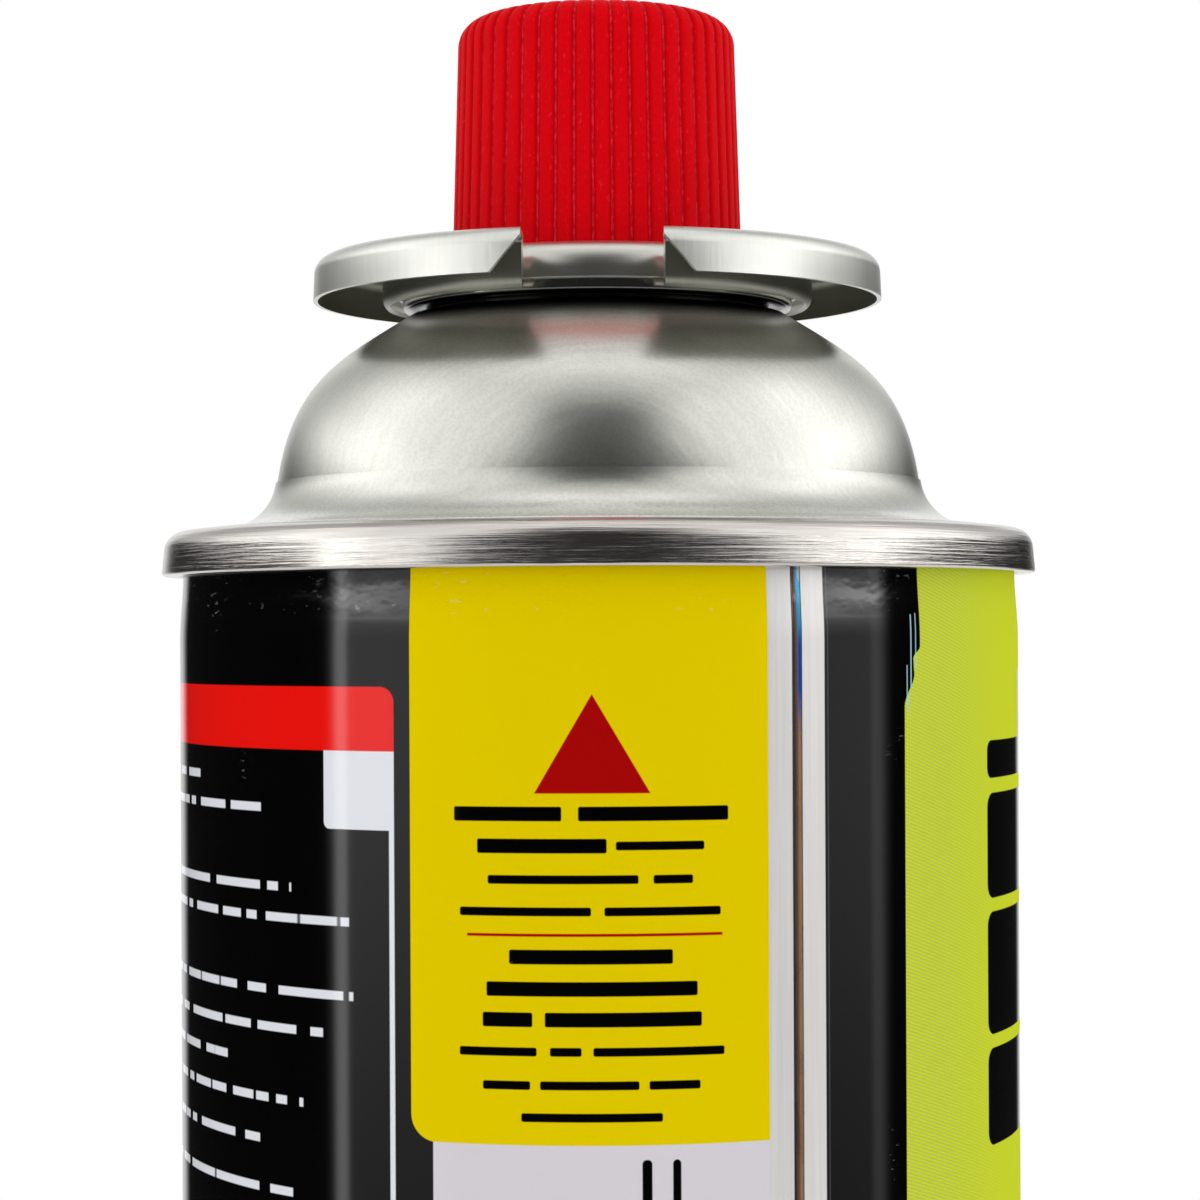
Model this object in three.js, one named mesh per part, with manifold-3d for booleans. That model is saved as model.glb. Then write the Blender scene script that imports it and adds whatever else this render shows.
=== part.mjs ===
// Stove fuel canister: a sealed tinplate can with a domed top, a notched collar, a crimped
// valve cup with its stem, and a ribbed pull-off cap. Millimetres, +Z up, the origin is the
// centre of the foot ring. Azimuth 0 is the front (-Y), where the collar has its notch.

import * as THREE from "three";
import { mergeVertices } from "three/addons/utils/BufferGeometryUtils.js";
import Module from "manifold-3d";

const wasm = await Module();
wasm.setup();

// Can body
const bodyRadius = 32.85;
const canHeight = 144.7; // foot ring to the top of the upper seam
const neckInset = 0.32; // how far the wall draws in beside each seam
const neckLength = 5;

// Double seams, the same at both ends
const seamRadius = 34.2;
const seamHeight = 3.45;
const seamThickness = 1.75; // measured across the rolled edge
const seamRound = 0.75;

// Base
const baseRecess = 4.2; // depth of the wall inside the foot ring
const baseRise = 5.4; // further rise of the dished panel to its centre

// Dome
const sinkDepth = 3.2; // the groove inside the upper seam
const sinkWidth = 1.2;
const flareRadius = 4.2; // hollow sweep from the flat rim up to the dome's foot
const domeFootRadius = 25.34;
const domeFootRise = 3.2; // dome's foot above the top of the seam
const domeHeight = 13.77; // foot to crown
const domeCrownRadius = 14.8;
const domeFootAngle = 7; // degrees the wall leans in at the foot
const domeCrownAngle = 58; // and at the crown
const domeLowerFullness = 8.6; // how long the wall keeps its direction, at each end
const domeUpperFullness = 6.6;

// Rolled bead round the dome's mouth
const beadRadius = 15.25;
const mouthRadius = 13.05;
const beadHeight = 3.3;
const beadCrevice = 0.43; // dark gap between the crown and the bead

// Sheets and clearances
const cupSheet = 0.3;
const collarSheet = 0.35;
const seatGap = 0.25; // between parts that are pressed together
const slideGap = 0.3; // between parts that slide

// Valve cup
const curlSkirt = 1.2; // straight drop of the rolled edge
const cupDepth = 7.4; // top of the curl to the floor
const crimpBulge = 0.5; // how far the wall is spread under the bead
const crimpDrop = 5.2; // top of the curl to the middle of the crimp
const crimpSpan = 2.4;
const pedestalRadius = 5.6;
const pedestalHeight = 6.6;

// Valve
const stemRadius = 2;
const stemBore = 0.8;
const stemLength = 8.2; // above the pedestal
const stemTipChamfer = 0.4;
const stemTailRadius = 1.5;
const stemTailLength = 1.6;
const shoulderRadius = 3.1;
const shoulderThickness = 1.1;
const stemTravel = 2;
const gasketThickness = 1;
const gasketRadius = 4.7;

// Collar
const collarRadius = 22.39;
const brimRise = 0.25; // brim above the top of the cup
const skirtHeight = 3.35;
const collarShoulder = 1.3;
const clampRadius = 16.95; // outside of the inner wall that clasps the cup
const clampDrop = 3.05; // brim to where the wall turns in
const clampLip = 0.75; // radius of that turn
const clampShoulder = 0.6;
const notchWidth = 10.4;
const notchMouth = 15.1; // width at the lower edge of the skirt
const notchAzimuth = -1; // degrees

// Cap
const capRadius = 11.63; // over the ribs at the foot
const capRise = 18.8; // cap above the brim
const capDraft = 1.72; // degrees
const capEdge = 2.9; // rounding of the top edge
const capWall = 1.45;
const capCrown = 1.5; // thickness of the top
const capBead = 12.2; // ring at the foot that grips the cup
const capBeadHeight = 1.5;
const ribCount = 48;
const ribDepth = 0.42;
const ribRound = 2.6; // exponent of a rib's crown: higher is flatter

// Printed fields, as azimuths in degrees and drops below the upper seam
const panelStart = -25;
const panelEnd = 20;
const stripeEnd = 30;
const blackEnd = 40;
const brightEnd = 220;
const panelDrop = 39.5;
const bandTop = 8.1;
const bandBottom = 12.6;

// Colours
const tinplate = 0xb9b8b0;
const blackInk = 0x121114;
const yellowInk = 0xdec800;
const greyInk = 0xcfccdc;
const brightInk = 0xd6e028;
const redInk = 0xe3120b;

const roundSteps = 48; // facets round the turned parts
const pointsPerRib = 4;

// Levels that the parts share
const seamBottom = canHeight - seamHeight;
const domeFootZ = canHeight + domeFootRise;
const crownZ = domeFootZ + domeHeight;
const beadBottom = crownZ + beadCrevice;
const beadTop = beadBottom + beadHeight;
const cupTop = beadTop + seatGap + cupSheet;
const cupFloor = cupTop - cupDepth;
const pedestalTop = cupFloor + pedestalHeight;
const collarTop = cupTop + brimRise;
const gasketTop = pedestalTop - cupSheet - seatGap;
const shoulderTop = gasketTop - gasketThickness - seatGap;

// Radii that the parts share
const beadRound = (beadRadius - mouthRadius) / 2;
const beadMiddle = (beadRadius + mouthRadius) / 2;
const curlRound = beadRound + seatGap + cupSheet;
const wellRadius = beadMiddle - curlRound;
const seamInner = seamRadius - seamThickness;
const wallAtSeam = bodyRadius - neckInset;

const radians = THREE.MathUtils.degToRad;

// A stretch of a round corner, as points (radius, height)
function arc(r, z, radius, from, to, steps) {
  const points = [];
  for (let i = 0; i <= steps; i++) {
    const angle = radians(from + ((to - from) * i) / steps);
    points.push(new THREE.Vector2(r + radius * Math.cos(angle), z + radius * Math.sin(angle)));
  }
  return points;
}

function at(r, z) {
  return new THREE.Vector2(r, z);
}

// A turned part: the outline runs up its outside and down its inside
function turned(outline, steps = roundSteps) {
  return new THREE.LatheGeometry(outline, steps).rotateX(Math.PI / 2);
}

function toSolid(geometry) {
  const bare = geometry.clone();
  bare.deleteAttribute("normal");
  bare.deleteAttribute("uv");
  const merged = mergeVertices(bare, 1e-4);
  return new wasm.Manifold(
    new wasm.Mesh({
      numProp: 3,
      vertProperties: new Float32Array(merged.attributes.position.array),
      triVerts: new Uint32Array(merged.index.array),
    }),
  );
}

function fromSolid(solid) {
  const mesh = solid.getMesh();
  const geometry = new THREE.BufferGeometry();
  geometry.setAttribute("position", new THREE.BufferAttribute(mesh.vertProperties, 3));
  geometry.setIndex(new THREE.BufferAttribute(mesh.triVerts, 1));
  geometry.computeVertexNormals();
  return geometry;
}

function part(name, geometry, material) {
  const mesh = new THREE.Mesh(geometry, material);
  mesh.name = name;
  return mesh;
}

// Can: one sealed solid of wall, base and dome, rolled together at the seams

function baseOutline() {
  const panelEdge = seamInner - seamRound;
  const panelZ = baseRecess;
  const dish = new THREE.EllipseCurve(0, panelZ, panelEdge, baseRise, Math.PI / 2, 0, true);
  return [
    ...dish.getPoints(4),
    at(seamInner, baseRecess - seamRound),
    at(seamInner, seamRound / 2),
    at(seamInner + seamRound / 2, 0),
  ];
}

function lowerSeamOutline() {
  return [
    ...arc(seamRadius - seamRound, seamRound, seamRound, -90, 0, 2),
    ...arc(seamRadius - seamRound, seamHeight - seamRound, seamRound, 0, 90, 2),
    at(wallAtSeam, seamHeight),
  ];
}

// The wall has a row of points at each printed edge
function wallOutline() {
  return [
    at(bodyRadius, seamHeight + neckLength),
    at(bodyRadius, seamBottom - panelDrop),
    at(bodyRadius, seamBottom - bandBottom),
    at(bodyRadius, seamBottom - bandTop),
    at(bodyRadius, seamBottom - neckLength),
    at(wallAtSeam, seamBottom),
  ];
}

function upperSeamOutline() {
  return [
    ...arc(seamRadius - seamRound, seamBottom + seamRound, seamRound, -90, 0, 2),
    ...arc(seamRadius - seamRound, canHeight - seamRound, seamRound, 0, 90, 2),
    at(seamInner + seamRound / 2, canHeight),
    at(seamInner, canHeight - seamRound / 2),
  ];
}

function domeOutline() {
  const flareStart = domeFootRadius + flareRadius;
  const flareTop = radians(domeFootAngle + 10);
  const foot = at(domeFootRadius, domeFootZ);
  const crown = at(domeCrownRadius, crownZ);
  const lean = radians(domeFootAngle);
  const slope = radians(domeCrownAngle);
  const wall = new THREE.CubicBezierCurve(
    foot,
    at(foot.x - domeLowerFullness * Math.sin(lean), foot.y + domeLowerFullness * Math.cos(lean)),
    at(crown.x + domeUpperFullness * Math.sin(slope), crown.y - domeUpperFullness * Math.cos(slope)),
    crown,
  );
  const flare = arc(flareStart, domeFootZ + flareRadius * Math.sin(flareTop), flareRadius, 270, 190, 4);
  return [
    at(seamInner, canHeight - sinkDepth),
    at(seamInner - sinkWidth, canHeight - sinkDepth),
    at(seamInner - sinkWidth, flare[0].y),
    ...flare,
    ...wall.getPoints(8),
  ];
}

// The bead stands on a short neck, and the mouth below it is wider where the cup is crimped
function mouthOutline() {
  const neckRadius = mouthRadius + 0.5 * beadRound;
  const pocketFloor = cupFloor - cupSheet - seatGap;
  const pocketRadius = wellRadius + crimpBulge + cupSheet + seatGap;
  const boreRadius = shoulderRadius + slideGap;
  const bossRadius = pedestalRadius - cupSheet - seatGap;
  const boreDepth = shoulderThickness + stemTailLength + stemTravel + slideGap;
  return [
    at(neckRadius, crownZ - beadCrevice / 2),
    ...arc(beadMiddle, beadBottom + beadRound, beadRound, 240, 360, 2),
    ...arc(beadMiddle, beadTop - beadRound, beadRound, 0, 180, 4),
    at(mouthRadius, cupTop - crimpDrop + crimpSpan / 2),
    at(pocketRadius, cupTop - crimpDrop),
    at(pocketRadius, pocketFloor),
    at(bossRadius, pocketFloor),
    at(bossRadius, shoulderTop),
    at(boreRadius, shoulderTop),
    at(boreRadius, shoulderTop - boreDepth),
    at(0, shoulderTop - boreDepth),
  ];
}

// Ink of the facet at an azimuth and a height
function printedInk(azimuth, z) {
  const drop = seamBottom - z;
  if (drop < 0 || z < seamHeight) {
    return tinplate;
  }
  if (azimuth > panelStart && azimuth < panelEnd) {
    return drop < panelDrop ? yellowInk : greyInk;
  }
  if (azimuth > panelEnd && azimuth < stripeEnd) {
    return tinplate;
  }
  if (azimuth > blackEnd && azimuth < brightEnd) {
    return brightInk;
  }
  return azimuth < panelStart && drop > bandTop && drop < bandBottom ? redInk : blackInk;
}

function paintPrint(geometry) {
  const flat = geometry.toNonIndexed();
  const position = flat.attributes.position;
  const colours = new Float32Array(position.count * 3);
  const centre = new THREE.Vector3();
  const corner = new THREE.Vector3();
  const ink = new THREE.Color();
  for (let first = 0; first < position.count; first += 3) {
    centre.set(0, 0, 0);
    for (let i = first; i < first + 3; i++) {
      centre.addScaledVector(corner.fromBufferAttribute(position, i), 1 / 3);
    }
    const turn = THREE.MathUtils.radToDeg(Math.atan2(centre.x, -centre.y));
    const azimuth = turn < brightEnd - 360 ? turn + 360 : turn;
    ink.set(printedInk(azimuth, centre.z));
    for (let i = first; i < first + 3; i++) {
      ink.toArray(colours, i * 3);
    }
  }
  flat.setAttribute("color", new THREE.BufferAttribute(colours, 3));
  return flat;
}

function makeCan() {
  const outline = [
    ...baseOutline(),
    ...lowerSeamOutline(),
    ...wallOutline(),
    ...upperSeamOutline(),
    ...domeOutline(),
    ...mouthOutline(),
  ];
  const material = new THREE.MeshStandardMaterial({
    vertexColors: true,
    roughness: 0.35,
    metalness: 0.6,
  });
  return part("can", paintPrint(turned(outline)), material);
}

// Collar: a pressed channel, open below, with a notch for the stove's locator

function makeCollar() {
  const skirtZ = collarTop - skirtHeight;
  const shoulderR = collarRadius - collarShoulder;
  const shoulderZ = collarTop - collarShoulder;
  const clampInner = clampRadius - collarSheet;
  const turnZ = collarTop - clampDrop;
  const turnR = clampInner - clampLip;
  const outline = [
    at(collarRadius, skirtZ),
    ...arc(shoulderR, shoulderZ, collarShoulder, 0, 90, 4),
    ...arc(clampInner + clampShoulder, collarTop - clampShoulder, clampShoulder, 90, 180, 2),
    ...arc(turnR, turnZ, clampLip, 0, -50, 2),
    ...arc(turnR, turnZ, clampLip + collarSheet, -50, 0, 2),
    at(clampRadius, collarTop - clampShoulder),
    at(clampRadius + clampShoulder - collarSheet, collarTop - collarSheet),
    ...arc(shoulderR, shoulderZ, collarShoulder - collarSheet, 90, 0, 4),
    at(collarRadius - collarSheet, skirtZ),
    at(collarRadius, skirtZ),
  ];
  const ring = toSolid(turned(outline));
  const notched = ring.subtract(toSolid(notchCutter(skirtZ)));
  const material = new THREE.MeshStandardMaterial({
    color: 0xd4d3cb,
    roughness: 0.3,
    metalness: 0.9,
  });
  return part("collar", fromSolid(notched), material);
}

// The notch is parallel through the brim, and widens down the skirt
function notchCutter(skirtZ) {
  const margin = 1;
  const near = clampRadius - collarSheet - clampLip - margin;
  const far = collarRadius + margin;
  const tall = skirtHeight + 2 * margin;
  const slot = new THREE.BoxGeometry(notchWidth, far - near, tall + clampLip);
  slot.translate(0, -(near + far) / 2, collarTop + margin - (tall + clampLip) / 2);
  const spread = (notchMouth - notchWidth) / 2 / (skirtHeight - collarShoulder / 2);
  const flareTop = collarTop - collarShoulder / 2;
  const flareBottom = skirtZ - margin;
  const half = notchWidth / 2;
  const wide = half + spread * (flareTop - flareBottom);
  const trapezium = new THREE.Shape([
    at(-half, flareTop),
    at(-wide, flareBottom),
    at(wide, flareBottom),
    at(half, flareTop),
  ]);
  const depth = far - (clampRadius + far) / 2;
  const flare = new THREE.ExtrudeGeometry(trapezium, { depth, bevelEnabled: false });
  flare.rotateX(Math.PI / 2);
  flare.translate(0, -(far - depth), 0);
  const cutter = fromSolid(toSolid(slot).add(toSolid(flare)));
  return cutter.rotateZ(radians(notchAzimuth));
}

// Valve cup: a drawn cup, rolled over the bead, crimped under it, with a pedestal

function makeValveCup() {
  const curlZ = cupTop - curlRound;
  const wallOuter = wellRadius + cupSheet;
  const crimpZ = cupTop - crimpDrop;
  const underside = cupFloor - cupSheet;
  const holeRadius = stemRadius + slideGap;
  const pedestalInner = pedestalRadius - cupSheet;
  const corner = cupSheet;
  const outline = [
    at(beadMiddle + curlRound, curlZ - curlSkirt),
    ...arc(beadMiddle, curlZ, curlRound, 0, 180, 6),
    at(wellRadius, crimpZ + crimpSpan / 2),
    at(wellRadius + crimpBulge, crimpZ),
    at(wellRadius, crimpZ - crimpSpan / 2),
    at(wellRadius - corner, cupFloor),
    at(pedestalRadius + corner, cupFloor),
    at(pedestalRadius, cupFloor + corner),
    at(pedestalRadius, pedestalTop - corner),
    at(pedestalRadius - corner, pedestalTop),
    at(holeRadius, pedestalTop),
    at(holeRadius, pedestalTop - cupSheet),
    at(pedestalInner, pedestalTop - cupSheet),
    at(pedestalInner, underside),
    at(wallOuter - corner, underside),
    at(wallOuter, crimpZ - crimpSpan / 2),
    at(wallOuter + crimpBulge, crimpZ),
    at(wallOuter, crimpZ + crimpSpan / 2),
    ...arc(beadMiddle, curlZ, curlRound - cupSheet, 180, 0, 6),
    at(beadMiddle + curlRound - cupSheet, curlZ - curlSkirt),
    at(beadMiddle + curlRound, curlZ - curlSkirt),
  ];
  const material = new THREE.MeshStandardMaterial({
    color: 0xc6c5bc,
    roughness: 0.35,
    metalness: 0.9,
  });
  return part("valve_cup", turned(outline), material);
}

// Valve: a rubber ring under the pedestal's top, and a spring-loaded stem through it

function makeStemGasket() {
  const hole = stemRadius + slideGap;
  const outline = [
    at(gasketRadius, gasketTop - gasketThickness),
    at(gasketRadius, gasketTop),
    at(hole, gasketTop),
    at(hole, gasketTop - gasketThickness),
    at(gasketRadius, gasketTop - gasketThickness),
  ];
  const material = new THREE.MeshStandardMaterial({ color: 0x1c1c1c, roughness: 0.8 });
  return part("stem_gasket", turned(outline, roundSteps / 2), material);
}

function makeValveStem() {
  const tip = pedestalTop + stemLength;
  const shoulderBottom = shoulderTop - shoulderThickness;
  const tail = shoulderBottom - stemTailLength;
  const outline = [
    at(0, tail),
    at(stemTailRadius, tail),
    at(stemTailRadius, shoulderBottom),
    at(shoulderRadius, shoulderBottom),
    at(shoulderRadius, shoulderTop),
    at(stemRadius, shoulderTop),
    at(stemRadius, tip - stemTipChamfer),
    at(stemRadius - stemTipChamfer, tip),
    at(stemBore, tip),
    at(stemBore, pedestalTop),
    at(0, pedestalTop),
  ];
  const material = new THREE.MeshStandardMaterial({ color: 0xe9e6da, roughness: 0.45 });
  return part("valve_stem", turned(outline, roundSteps / 2), material);
}

// Cap: a thin moulded cup with ribs all round, standing on the valve cup's floor

function capOutside() {
  const foot = cupFloor + slideGap;
  const top = collarTop + capRise;
  const slope = Math.tan(radians(capDraft));
  const beadTopZ = foot + capBeadHeight;
  const edgeRadius = capRadius - slope * (top - capEdge - foot);
  const centre = edgeRadius - capEdge;
  return [
    at(0, foot),
    at(capBead - capBeadHeight / 3, foot),
    at(capBead, foot + capBeadHeight / 3),
    at(capBead, beadTopZ),
    at(capRadius - slope * capBeadHeight, beadTopZ),
    at(edgeRadius, top - capEdge),
    ...arc(centre, top - capEdge, capEdge, 20, 90, 3),
    at(0, top),
  ];
}

// Ribs are round-crowned, and meet in sharp valleys that run out over the rounded edge
function ribbed(geometry) {
  const foot = cupFloor + slideGap;
  const slope = Math.tan(radians(capDraft));
  const position = geometry.attributes.position;
  for (let i = 0; i < position.count; i++) {
    const x = position.getX(i);
    const y = position.getY(i);
    const rise = position.getZ(i) - foot;
    const radius = Math.hypot(x, y);
    const turns = (Math.atan2(y, x) / (2 * Math.PI)) * ribCount;
    const across = 2 * Math.abs(turns - Math.round(turns));
    const limit = capRadius - slope * rise - ribDepth * across ** ribRound;
    const onRibs = rise > capBeadHeight / 2 && radius < capRadius;
    if (onRibs && radius > limit) {
      position.setXY(i, (x * limit) / radius, (y * limit) / radius);
    }
  }
  return geometry;
}

function makeCap() {
  const foot = cupFloor + slideGap;
  const roof = collarTop + capRise - capCrown;
  const slope = Math.tan(radians(capDraft));
  const innerFoot = capRadius - capWall;
  const innerRoof = innerFoot - slope * (roof - foot);
  const hollow = [
    at(0, foot - 1),
    at(innerFoot, foot - 1),
    at(innerFoot, foot),
    at(innerRoof, roof - capCrown),
    at(innerRoof - capCrown, roof),
    at(0, roof),
  ];
  const outside = toSolid(ribbed(turned(capOutside(), ribCount * pointsPerRib)));
  const material = new THREE.MeshStandardMaterial({ color: 0xc8000f, roughness: 0.4 });
  return part("cap", fromSolid(outside.subtract(toSolid(turned(hollow, ribCount)))), material);
}

const canister = new THREE.Group();
canister.add(makeCan(), makeCollar(), makeValveCup(), makeStemGasket(), makeValveStem(), makeCap());

export default canister;
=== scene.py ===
import math

import bmesh
import bpy
from mathutils import Matrix, Vector


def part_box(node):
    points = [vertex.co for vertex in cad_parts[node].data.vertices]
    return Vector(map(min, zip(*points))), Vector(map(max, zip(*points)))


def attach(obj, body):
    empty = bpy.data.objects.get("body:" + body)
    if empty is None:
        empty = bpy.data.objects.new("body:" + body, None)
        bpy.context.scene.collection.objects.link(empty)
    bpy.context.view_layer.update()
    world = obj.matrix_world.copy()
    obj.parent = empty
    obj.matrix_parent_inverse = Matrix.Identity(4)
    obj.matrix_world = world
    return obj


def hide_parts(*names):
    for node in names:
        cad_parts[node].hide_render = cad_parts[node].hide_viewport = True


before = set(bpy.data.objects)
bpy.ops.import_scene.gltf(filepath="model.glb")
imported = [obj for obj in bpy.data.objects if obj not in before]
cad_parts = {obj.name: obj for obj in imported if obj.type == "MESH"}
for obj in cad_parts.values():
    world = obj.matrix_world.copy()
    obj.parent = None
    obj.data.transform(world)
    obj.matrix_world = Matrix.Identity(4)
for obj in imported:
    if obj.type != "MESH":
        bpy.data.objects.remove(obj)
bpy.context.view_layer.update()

# Studio. The canister stands on a pale round table top, in a white room with one large soft
# panel on either side, and the gap between the panels, behind the camera, is dark.

MM = 0.001
brim_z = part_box("collar")[1].z
scene = bpy.context.scene
scene.view_settings.view_transform = "Standard"

camera_distance = 241.6 * MM
camera_height = brim_z - 29.5 * MM
camera_data = bpy.data.cameras.new("camera")
camera_data.sensor_width = 36
camera_data.lens = 91.6
camera_data.shift_x = 0.0009
camera_data.shift_y = 0.0278
camera_data.clip_start = 0.01
camera_data.clip_end = 20
camera = bpy.data.objects.new("camera", camera_data)
camera.location = (0, -camera_distance, camera_height)
camera_roll = math.radians(0.27)
camera.rotation_euler = (math.radians(90), camera_roll, 0)
scene.collection.objects.link(camera)
scene.camera = camera


def add_node(tree, kind, **settings):
    node = tree.nodes.new(kind)
    for name, value in settings.items():
        setattr(node, name, value)
    return node


def feed(tree, socket, value):
    if isinstance(value, bpy.types.NodeSocket):
        tree.links.new(value, socket)
    elif value is not None:
        socket.default_value = value


def calc(tree, operation, a, b=None, c=None, clamp=False):
    node = add_node(tree, "ShaderNodeMath", operation=operation, use_clamp=clamp)
    for socket, value in zip(node.inputs, (a, b, c)):
        feed(tree, socket, value)
    return node.outputs[0]


def ramp(tree, value, start, end, low=0.0, high=1.0):
    node = add_node(tree, "ShaderNodeMapRange", interpolation_type="SMOOTHSTEP")
    names = ("Value", "From Min", "From Max", "To Min", "To Max")
    for name, item in zip(names, (value, start, end, low, high)):
        feed(tree, node.inputs[name], item)
    return node.outputs[0]


def between(tree, value, rise_start, rise_end, fall_start, fall_end):
    """One between two soft edges, and nought outside them."""
    rising = ramp(tree, value, rise_start, rise_end)
    return calc(tree, "MULTIPLY", rising, ramp(tree, value, fall_start, fall_end, 1.0, 0.0))


def graded(tree, share, first, last):
    """A value that runs from the first to the last as the share runs from nought to one."""
    return calc(tree, "MULTIPLY_ADD", share, last - first, first)


def blend(tree, under, over, mask):
    mix = add_node(tree, "ShaderNodeMix", data_type="FLOAT")
    feed(tree, mix.inputs[0], mask)
    feed(tree, mix.inputs[2], under)
    feed(tree, mix.inputs[3], over)
    return mix.outputs[0]


def coordinates(tree, kind="Object"):
    return add_node(tree, "ShaderNodeTexCoord").outputs[kind]


def split_xyz(tree, vector):
    split = add_node(tree, "ShaderNodeSeparateXYZ")
    feed(tree, split.inputs[0], vector)
    return split.outputs


def azimuth_of(tree, x, y):
    """Degrees round from the front, positive to the right."""
    return calc(tree, "DEGREES", calc(tree, "ARCTAN2", x, calc(tree, "MULTIPLY", y, -1.0)))


def light_the_room():
    """Light by direction: degrees of rise over the horizon, and of turn round from the front."""
    panel_level, wall_level, back_level, gap_level, even_level = 1.27, 0.5, 1.0, 0.015, 0.95
    world = bpy.data.worlds.new("studio")
    scene.world = world
    world.use_nodes = True
    tree = world.node_tree
    tree.nodes.clear()
    x, y, z = split_xyz(tree, coordinates(tree, "Generated"))
    rise = calc(tree, "DEGREES", calc(tree, "ARCSINE", z))
    # Low down, the right panel stands a little further round than the left one
    right = ramp(tree, x, -0.05, 0.05)
    shift = calc(tree, "MULTIPLY", right, ramp(tree, rise, 8.0, 18.0, 6.5, 2.5))
    turn = calc(tree, "SUBTRACT", calc(tree, "ABSOLUTE", azimuth_of(tree, x, y)), shift)
    # The panels widen upwards, and low down they are weaker, more so on the right
    raised = ramp(tree, rise, 7.0, 16.0)
    higher = ramp(tree, rise, 12.0, 26.0)
    edge = between(tree, turn, graded(tree, higher, 36.0, 12.0), graded(tree, higher, 45.0, 37.0),
                   graded(tree, raised, 71.0, 82.0), graded(tree, raised, 78.0, 148.0))
    panel = calc(tree, "MULTIPLY", edge, ramp(tree, rise, -12.0, -1.0, 0.38, 1.0))
    panel = calc(tree, "MULTIPLY", panel, panel_level)
    weaker = calc(tree, "MULTIPLY", graded(tree, right, 0.27, 0.5), ramp(tree, rise, 1.0, 6.0, 1.0, 0.0))
    weaker = calc(tree, "MAXIMUM", weaker, graded(tree, right, 0.1, 0.0))
    panel = calc(tree, "MULTIPLY", panel, calc(tree, "SUBTRACT", 1.0, weaker))
    # The bright frame of each panel: an upright strip, and one along its top
    upright = between(tree, turn, 69.0, 71.0, 72.5, 75.5)
    upright = calc(tree, "MULTIPLY", upright, ramp(tree, rise, 8.0, 11.0, 1.0, 0.0))
    upright = calc(tree, "MULTIPLY", upright, graded(tree, right, 2.2, 0.45))
    along_top = calc(tree, "MULTIPLY", between(tree, rise, 5.5, 7.5, 8.5, 10.5), edge)
    along_top = calc(tree, "MULTIPLY", along_top, ramp(tree, turn, 45.0, 70.0, 0.7, 1.6))
    frames = calc(tree, "MULTIPLY_ADD", along_top, graded(tree, right, 2.4, 2.8), upright)
    # The side walls are brightest in a band just over the panels' lower part
    band = calc(tree, "MULTIPLY", ramp(tree, rise, 6.0, 12.0), ramp(tree, rise, 20.0, 27.0, 0.45, 0.0))
    band = calc(tree, "MULTIPLY", band, ramp(tree, turn, 112.0, 138.0, 1.0, 0.2))
    walls = calc(tree, "MULTIPLY_ADD", raised, wall_level, band)
    walls = calc(tree, "MULTIPLY", walls, ramp(tree, turn, 66.0, 90.0))
    low = calc(tree, "ADD", calc(tree, "ADD", panel, frames), calc(tree, "ADD", walls, gap_level))
    low = calc(tree, "MAXIMUM", low, ramp(tree, turn, 150.0, 160.0, 0.0, back_level))
    # The ceiling is brightest over the panels and straight above, and the floor is an even grey
    front_half = ramp(tree, turn, 5.0, 60.0, 0.66, 0.95)
    upper = calc(tree, "MINIMUM", front_half, ramp(tree, turn, 85.0, 135.0, 0.95, 0.45))
    level = blend(tree, low, upper, ramp(tree, rise, 42.0, 60.0))
    level = calc(tree, "ADD", level, ramp(tree, rise, 58.0, 80.0, 0.0, 0.4))
    level = calc(tree, "MAXIMUM", level, ramp(tree, rise, -16.0, -12.0, 0.5, 0.0))
    # Matt surfaces take an even light, and the camera sees a white backdrop
    path = add_node(tree, "ShaderNodeLightPath")
    level = blend(tree, level, even_level, path.outputs["Is Diffuse Ray"])
    background = add_node(tree, "ShaderNodeBackground")
    background.inputs["Color"].default_value = (1, 1, 1, 1)
    feed(tree, background.inputs["Strength"], calc(tree, "MAXIMUM", level, path.outputs["Is Camera Ray"]))
    feed(tree, add_node(tree, "ShaderNodeOutputWorld").inputs["Surface"], background.outputs[0])


light_the_room()


def finish_mesh(bm, name, sharp=38):
    bmesh.ops.remove_doubles(bm, verts=bm.verts[:], dist=1e-6)
    mesh = bpy.data.meshes.new(name)
    bm.to_mesh(mesh)
    bm.free()
    for face in mesh.polygons:
        face.use_smooth = True
    mesh.set_sharp_from_angle(angle=math.radians(sharp))
    piece = bpy.data.objects.new(name, mesh)
    scene.collection.objects.link(piece)
    return piece


def new_material(name):
    material = bpy.data.materials.new(name)
    material.use_nodes = True
    tree = material.node_tree
    return material, tree, tree.nodes["Principled BSDF"]


def make_table():
    """The table top, which fades into the white of the backdrop towards its edge."""
    table_radius = 420 * MM
    fade_start, fade_end = 100 * MM, 380 * MM
    bm = bmesh.new()
    bmesh.ops.create_circle(bm, cap_ends=True, segments=128, radius=table_radius)
    table = finish_mesh(bm, "table_top")
    material, tree, shader = new_material("pale_table")
    shader.inputs["Base Color"].default_value = (0.9, 0.9, 0.9, 1)
    shader.inputs["Roughness"].default_value = 0.6
    length = add_node(tree, "ShaderNodeVectorMath", operation="LENGTH")
    feed(tree, length.inputs[0], coordinates(tree))
    mix = add_node(tree, "ShaderNodeMixShader")
    feed(tree, mix.inputs[0], ramp(tree, length.outputs["Value"], fade_start, fade_end))
    feed(tree, mix.inputs[1], shader.outputs[0])
    feed(tree, mix.inputs[2], add_node(tree, "ShaderNodeEmission").outputs[0])
    feed(tree, tree.nodes["Material Output"].inputs["Surface"], mix.outputs[0])
    table.data.materials.append(material)


make_table()

# Can wall. A sheet of tinplate, rolled and welded down one side, then printed: black ground,
# a yellow panel at the front, a bright field on the right, and bare stripes beside the weld.

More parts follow.
